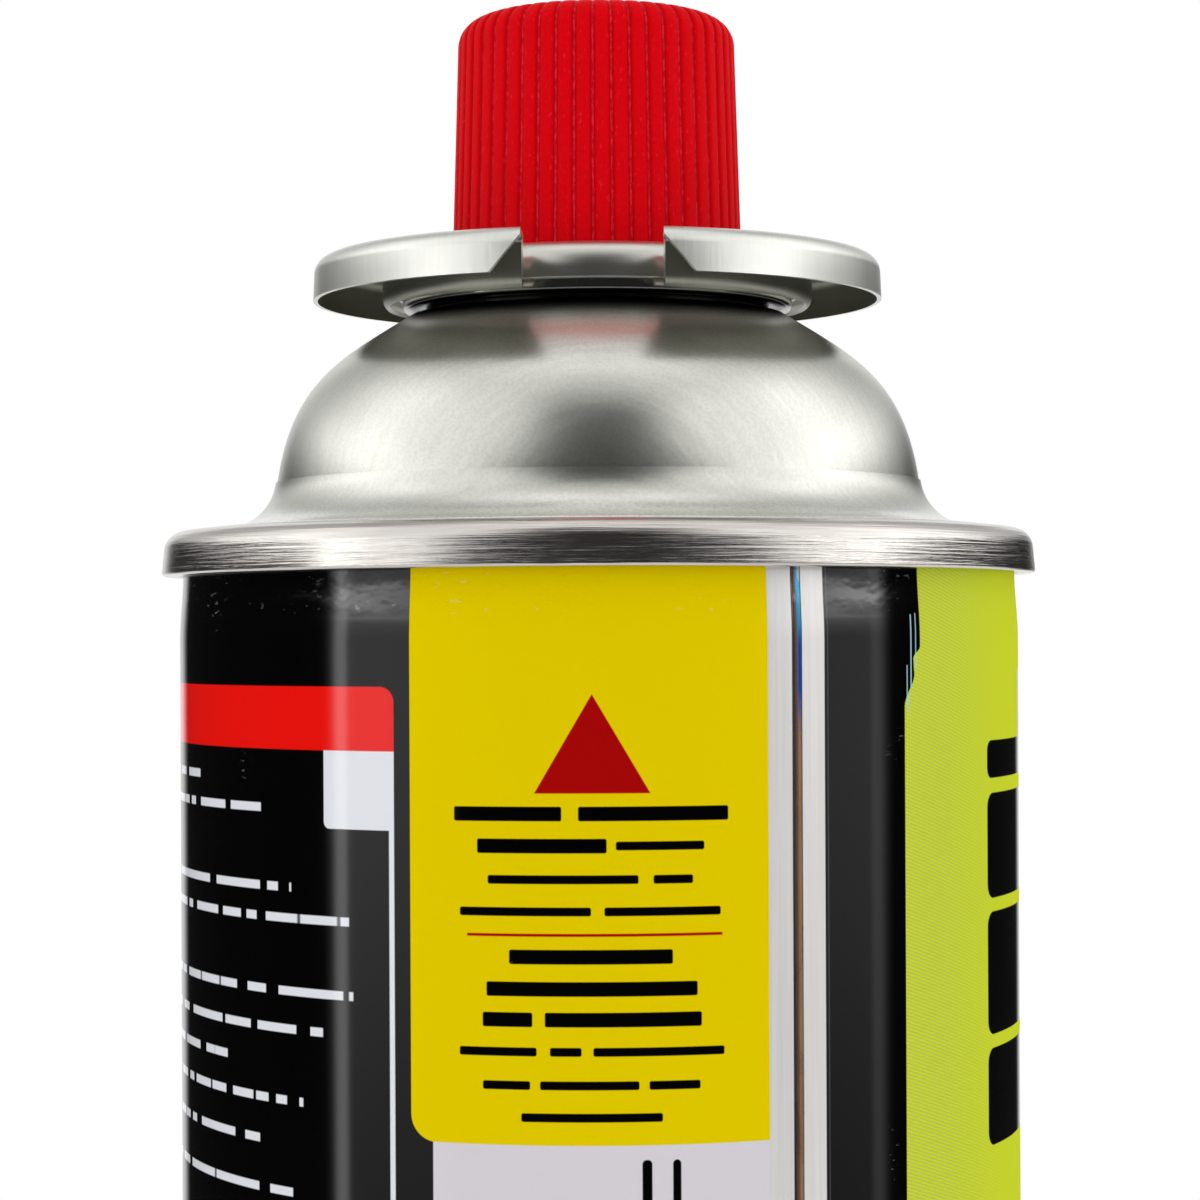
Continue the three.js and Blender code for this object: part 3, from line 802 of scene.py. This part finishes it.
def base_outline():
    dish = seam_inner - base_fold
    steps = 24
    points = []
    for i in range(steps + 1):
        angle = math.radians(90 * (1 - i / steps))
        points.append((dish * math.cos(angle), foot_z + base_recess + base_rise * math.sin(angle)))
    points += [(seam_inner, foot_z + base_recess - base_fold)]
    points += arc(seam_inner + seam_lip, foot_z + seam_lip, seam_lip, 180, 270, 6)
    points += [(r, foot_seam_top + seam_low - z) for r, z in seam_face(seam_low)[::-1]]
    points += [(wall_at_seam + seam_hem, foot_seam_top), (wall_at_seam, foot_seam_top - seam_hem)]
    return points


base = turned("base", base_outline(), steps=192)
base.data.materials.append(metal_material("base_tinplate", (0.64, 0.62, 0.58, 1), 0.3, (110, 110, 4200)))
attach(base, "canister")
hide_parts("can")

# Valve cup. A drawn tinplate cup, rolled over the dome's bead, crimped below it, with a
# pedestal in the middle that holds the valve.

cup_sheet = 0.3 * MM
cup_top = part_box("valve_cup")[1].z
cup_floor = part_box("valve_cup")[0].z + cup_sheet
curl_middle = 14.15 * MM
curl_round = 1.65 * MM
curl_drop = 2.2 * MM
curl_skirt = 0.65 * MM
well_radius = curl_middle - curl_round
well_fold = 0.6 * MM
crimp_z = cup_top - 5.2 * MM
pedestal_radius = 5.6 * MM
pedestal_top = cup_floor + 6.6 * MM
pedestal_fold = 0.5 * MM
stem_hole = 2.3 * MM


def cup_outline():
    """The curl, half an ellipse with a short skirt, then the well, its crimp and the pedestal."""
    steps = 24
    curl = [(curl_middle + curl_round, cup_top - curl_drop - curl_skirt)]
    for i in range(steps + 1):
        angle = math.pi * i / steps
        r = curl_middle + curl_round * math.cos(angle)
        curl.append((r, cup_top - curl_drop * (1 - math.sin(angle))))
    crimp = ((0.0, 1.2), (0.25, 0.7), (0.5, 0.0), (0.25, -0.7), (0.0, -1.2))
    return (curl + [(well_radius + out * MM, crimp_z + up * MM) for out, up in crimp]
            + arc(well_radius - well_fold, cup_floor + well_fold, well_fold, 0, -90, 5)
            + arc(pedestal_radius + pedestal_fold, cup_floor + pedestal_fold, pedestal_fold, 270, 180, 5)
            + arc(pedestal_radius - pedestal_fold, pedestal_top - pedestal_fold, pedestal_fold, 0, 90, 5)
            + [(stem_hole, pedestal_top)])


valve_cup = turned("valve_cup_sheet", cup_outline(), steps=160)
solid_sheet(valve_cup, cup_sheet)
cup_tinplate = metal_material("cup_tinplate", (0.64, 0.63, 0.58, 1), 0.32, (260, 3600, 260), 80)
valve_cup.data.materials.append(cup_tinplate)
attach(valve_cup, "canister")
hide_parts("valve_cup")

# Collar. A channel pressed from one plated sheet: brim, outer skirt, and an inner wall that
# clasps the cup. The notch was cut from the flat blank, so it widens down the skirt.

collar_sheet = 0.35 * MM
collar_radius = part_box("collar")[1].x
skirt_low = brim_z - 3.35 * MM
shoulder = 1.3 * MM
collar_lean = 0.045
skirt_rim = 0.8 * MM
brim_flat = 19.2 * MM
clamp_inner = 16.6 * MM
clamp_turn = brim_z - 3.05 * MM
clamp_lip = 0.75 * MM
clamp_fold = 0.6 * MM
notch_half = 5.2 * MM
notch_mouth_half = 7.55 * MM
notch_turn = math.radians(-1)


def collar_outline():
    skirt_tip = collar_radius - collar_lean * (brim_z - shoulder - skirt_low)
    return ([(collar_radius, skirt_low), (collar_radius - collar_lean * skirt_rim, skirt_low + skirt_rim)]
            + arc(skirt_tip - shoulder, brim_z - shoulder, shoulder, 2, 90, 12)
            + [(brim_flat, brim_z)]
            + arc(clamp_inner + clamp_fold, brim_z - clamp_fold, clamp_fold, 90, 180, 8)
            + arc(clamp_inner - clamp_lip, clamp_turn, clamp_lip, 0, -50, 6))


def cut_notch(piece):
    """Cuts the notch out of the front: parallel sides, and slanting ones down the skirt."""
    bm = bmesh.new()
    bm.from_mesh(piece.data)
    turn = Matrix.Rotation(notch_turn, 3, "Z")
    slant_top = brim_z - shoulder / 2
    slant_start = 19 * MM
    slant = (notch_mouth_half - notch_half) / (slant_top - skirt_low)
    for side in (-1, 1):
        for point, normal in (((side * notch_half, 0, 0), (side, 0, 0)),
                              ((side * notch_half, 0, slant_top), (side, 0, slant))):
            geometry = bm.verts[:] + bm.edges[:] + bm.faces[:]
            bmesh.ops.bisect_plane(bm, geom=geometry, dist=1e-7, plane_co=turn @ Vector(point),
                                   plane_no=(turn @ Vector(normal)).normalized())
    back = turn.inverted()
    gone = []
    for face in bm.faces:
        middle = back @ face.calc_center_median()
        half = notch_half
        if middle.y < -slant_start:
            half += max(0.0, slant_top - middle.z) * slant
        if middle.y < 0 and abs(middle.x) < half:
            gone.append(face)
    bmesh.ops.delete(bm, geom=gone, context="FACES")
    bm.to_mesh(piece.data)
    bm.free()


collar = turned("collar_channel", collar_outline(), steps=192)
cut_notch(collar)
solid_sheet(collar, collar_sheet, inside=1)
collar_grain = (3400, 260, 200)
plated = metal_material("plated_collar", (0.7, 0.7, 0.66, 1), 0.36, collar_grain, 10)
# Painted shade: the inside faces get a darker copy of the collar metal
shaded_inside = metal_material("shaded_inside_metal", (0.33, 0.33, 0.28, 1), 0.4, collar_grain, 10)
collar.data.materials.append(plated)
collar.data.materials.append(shaded_inside)
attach(collar, "canister")
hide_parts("collar")

# Valve. A white moulded plastic tube with a flange, which a spring holds up in the pedestal, and
# the black rubber ring that seals it there. The ring keeps its own shape from the solids.

stem_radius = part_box("valve_stem")[1].x
stem_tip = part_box("valve_stem")[1].z
stem_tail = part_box("valve_stem")[0].z


def stem_outline():
    shaft, tail, bore, tip_round = 2 * MM, 1.5 * MM, 0.8 * MM, 0.4 * MM
    flange_low = stem_tail + 1.6 * MM
    flange_top = flange_low + 1.1 * MM
    return ([(0, stem_tail), (tail, stem_tail), (tail, flange_low), (stem_radius, flange_low),
             (stem_radius, flange_top), (shaft, flange_top)]
            + arc(shaft - tip_round, stem_tip - tip_round, tip_round, 0, 90, 6)
            + [(bore, stem_tip), (bore, pedestal_top), (0, pedestal_top)])


def plastic_material(name, colour, roughness, gloss=0.5):
    """Moulded plastic or rubber, with the fine grain of the mould."""
    material, tree, shader = new_material(name)
    shader.inputs["Specular IOR Level"].default_value = gloss
    grain = noise(tree, coordinates(tree), 3200.0)
    feed(tree, shader.inputs["Base Color"], shaded(tree, colour, ramp(tree, grain, 0.3, 0.7, 0.94, 1.04)))
    rough = ramp(tree, grain, 0.3, 0.7, roughness - 0.06, roughness + 0.06)
    feed(tree, shader.inputs["Roughness"], rough)
    press_relief(tree, shader, grain, 0.00004, 0.35)
    return material


valve_stem = turned("valve_stem_tube", stem_outline(), steps=64)
valve_stem.data.materials.append(plastic_material("stem_plastic", (0.8, 0.78, 0.7, 1), 0.4))
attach(valve_stem, "stem")
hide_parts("valve_stem")

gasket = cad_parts["stem_gasket"]
gasket_rubber = plastic_material("gasket_rubber", (0.02, 0.02, 0.021, 1), 0.6)
for slot in gasket.material_slots:
    slot.material = gasket_rubber

# Cap. A thin cup moulded in red plastic: ribs with round crowns and sharp valleys all round,
# which run out over the rounded top edge, and a smooth ring at the foot that grips the cup.

cap_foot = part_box("cap")[0].z
cap_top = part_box("cap")[1].z
cap_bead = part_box("cap")[1].x
cap_radius = 11.63 * MM
cap_draft = math.tan(math.radians(1.72))
cap_edge = 2.1 * MM
cap_wall = 1.45 * MM
cap_crown = 1.5 * MM
ring_top = cap_foot + 1.5 * MM
ring_round = 0.5 * MM
rib_count = 48
rib_depth = 0.42 * MM
rib_round = 4.5
rib_foot = cap_foot + 1.6 * MM
points_per_rib = 16
first_valley = -1.5
side_top = cap_top - cap_edge
edge_radius = cap_radius - cap_draft * (side_top - cap_foot)


def cap_outside():
    steps = 24
    side = []
    for i in range(steps + 1):
        z = ring_top + (side_top - ring_top) * i / steps
        side.append((cap_radius - cap_draft * (z - cap_foot), z))
    return ([(cap_radius - cap_wall, cap_foot), (cap_bead - ring_round, cap_foot)]
            + arc(cap_bead - ring_round, cap_foot + ring_round, ring_round, -90, 0, 4)
            + [(cap_bead, ring_top)] + side
            + arc(edge_radius - cap_edge, side_top, cap_edge, 4, 90, 22)[:-1]
            + [(4 * MM, cap_top), (0, cap_top)])


def cap_inside():
    roof = cap_top - cap_crown
    foot_radius = cap_radius - cap_wall
    roof_radius = foot_radius - cap_draft * (roof - cap_foot)
    return ([(0, roof)] + arc(roof_radius - cap_crown, roof - cap_crown, cap_crown, 90, 0, 6)
            + [(foot_radius, cap_foot)])


def rib_share(x, y):
    """Nought on a rib's crown and one in the valley between two ribs."""
    azimuth = math.degrees(math.atan2(x, -y))
    turns = (azimuth - first_valley) * rib_count / 360 + 0.5
    return 2 * abs(turns - round(turns))


def press_ribs(piece):
    """Presses the valleys into the outside, upright on the side and fading over the round edge."""
    skin = 0.1 * MM
    centre = edge_radius - cap_edge
    for vertex in piece.data.vertices:
        x, y, z = vertex.co
        radius = math.hypot(x, y)
        depth = rib_depth * rib_share(x, y) ** rib_round
        outside = cap_radius - cap_draft * (z - cap_foot)
        if rib_foot < z <= side_top + 1e-6 and radius > outside - skin:
            scale = (radius - depth) / radius
            vertex.co = (x * scale, y * scale, z)
        elif z > side_top and radius > centre:
            reach = math.hypot(radius - centre, z - side_top)
            if reach > cap_edge - skin:
                fade = 1 - (math.atan2(z - side_top, radius - centre) / (math.pi / 2)) ** 3
                shrink = (reach - depth * fade) / reach
                scale = (centre + (radius - centre) * shrink) / radius
                vertex.co = (x * scale, y * scale, side_top + (z - side_top) * shrink)


def cap_material():
    """Red plastic, with a painted highlight along each valley, painted shade on the flanks beside it, and
    painted glints all over.
    """
    flank_shade_red, valley_highlight_red, glint_red = (0.42, 0.0, 0.0, 1), (0.9, 0.03, 0.06, 1), (0.95, 0.02, 0.06, 1)
    material = plastic_material("red_plastic", (0.7, 0.0, 0.004, 1), 0.5, gloss=0.03)
    tree = material.node_tree
    shader = tree.nodes["Principled BSDF"]
    x, y, z = split_xyz(tree, coordinates(tree))
    ribs_per_degree = rib_count / 360
    turns = calc(tree, "MULTIPLY_ADD", azimuth_of(tree, x, y), ribs_per_degree,
                 0.5 - first_valley * ribs_per_degree)
    nearest = calc(tree, "SUBTRACT", turns, calc(tree, "ROUND", turns))
    share = calc(tree, "MULTIPLY", calc(tree, "ABSOLUTE", nearest), 2.0)
    # Painted highlight: a paler red line along each valley, broken up by streaky noise
    streak_noise = use_group(tree, grain_of_sheet, Vector=stretched(tree, (5200, 5200, 1900)), Depth=0.1)
    broken = ramp(tree, streak_noise.outputs["Relief"], 0.42, 0.62, 0.25, 1.0)
    valley = calc(tree, "MULTIPLY", ramp(tree, share, 0.84, 0.93), broken)
    valley = calc(tree, "MULTIPLY", valley, ramp(tree, z, rib_foot, rib_foot + 0.6 * MM))
    # Painted shade: darker red on the flanks next to each valley
    flank = calc(tree, "MULTIPLY", ramp(tree, share, 0.5, 0.82), 0.45)
    colour = paint(tree, shader.inputs["Base Color"].links[0].from_socket, flank_shade_red, flank)
    colour = paint(tree, colour, valley_highlight_red, valley)
    # Painted glints: small brighter red specks standing in for the plastic's sparkle
    painted_glints = calc(tree, "MULTIPLY", ramp(tree, streak_noise.outputs["Relief"], 0.62, 0.72), 0.45)
    feed(tree, shader.inputs["Base Color"], paint(tree, colour, glint_red, painted_glints))
    return material


cap = turned("ribbed_cap", cap_inside() + cap_outside()[1:], steps=rib_count * points_per_rib, sharp=25)
press_ribs(cap)
cap.data.materials.append(cap_material())
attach(cap, "cap")
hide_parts("cap")
